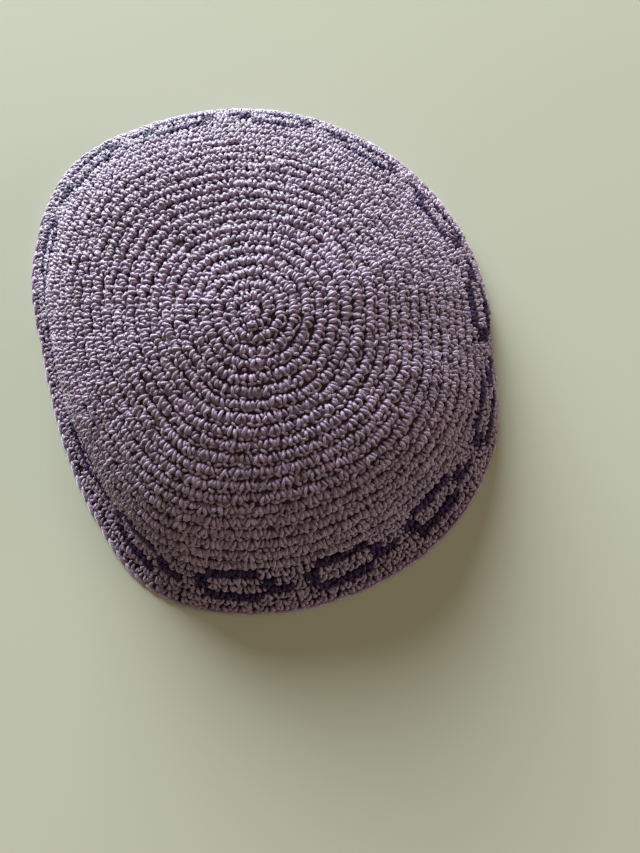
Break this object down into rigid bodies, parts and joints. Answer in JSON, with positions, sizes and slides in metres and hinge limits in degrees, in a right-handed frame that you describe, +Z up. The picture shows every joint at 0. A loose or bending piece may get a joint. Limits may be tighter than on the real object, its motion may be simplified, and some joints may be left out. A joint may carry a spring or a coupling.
{
  "type": "crocheted kippah skullcap",
  "caption": "Shallow domed skullcap of crocheted cotton with a two-colour wave border and a softly flared rim; it covers the crown of the head.",
  "frame": {"origin": "under the middle of the rim's box, on the surface that the cap lies on", "axes": "+Z up through the crown, +Y to the back of the cap as the picture shows it, along its longer side, +X to the right"},
  "size_m": [0.158, 0.177, 0.04],
  "materials": {
    "lilac_yarn": "mercerised crochet cotton with a soft sheen, dusty lilac",
    "violet_yarn": "mercerised crochet cotton with a soft sheen, dark violet",
    "edge_yarns": "lilac crochet cotton worked over a carried dark violet strand"
  },
  "bodies": {
    "root": {"crown": "lilac_yarn", "pattern_band": "violet_yarn", "edge_rounds": "edge_yarns"}
  },
  "joints": []
}
